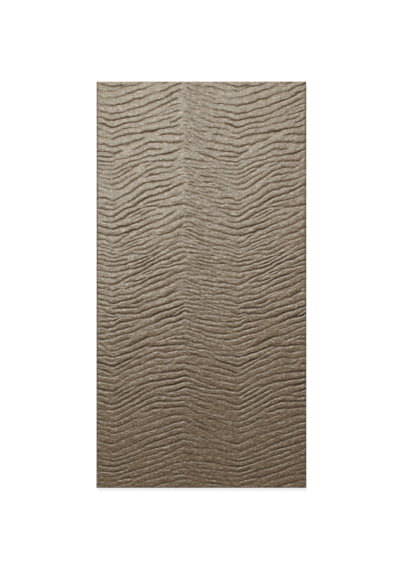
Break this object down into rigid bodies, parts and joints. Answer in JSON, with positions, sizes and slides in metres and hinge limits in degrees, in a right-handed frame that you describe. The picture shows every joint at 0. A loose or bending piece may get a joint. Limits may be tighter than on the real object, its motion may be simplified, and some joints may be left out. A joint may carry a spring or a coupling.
{
  "type": "wall tile",
  "caption": "Rectangular wall tile with a folded relief of close wavy grooves under a matte taupe glaze, bevelled front edges and a flat keyed back.",
  "frame": {"origin": "centre of the tile's back, on the plane of the lands that meet the wall", "axes": "+Z out of the relief face, +Y along the length towards the end shown uppermost, +X across the width"},
  "size_m": [0.31, 0.6, 0.01],
  "materials": {
    "glazed_body": "matte taupe glaze on a fired clay body"
  },
  "bodies": {
    "root": {"wall_tile": "glazed_body"}
  },
  "joints": []
}
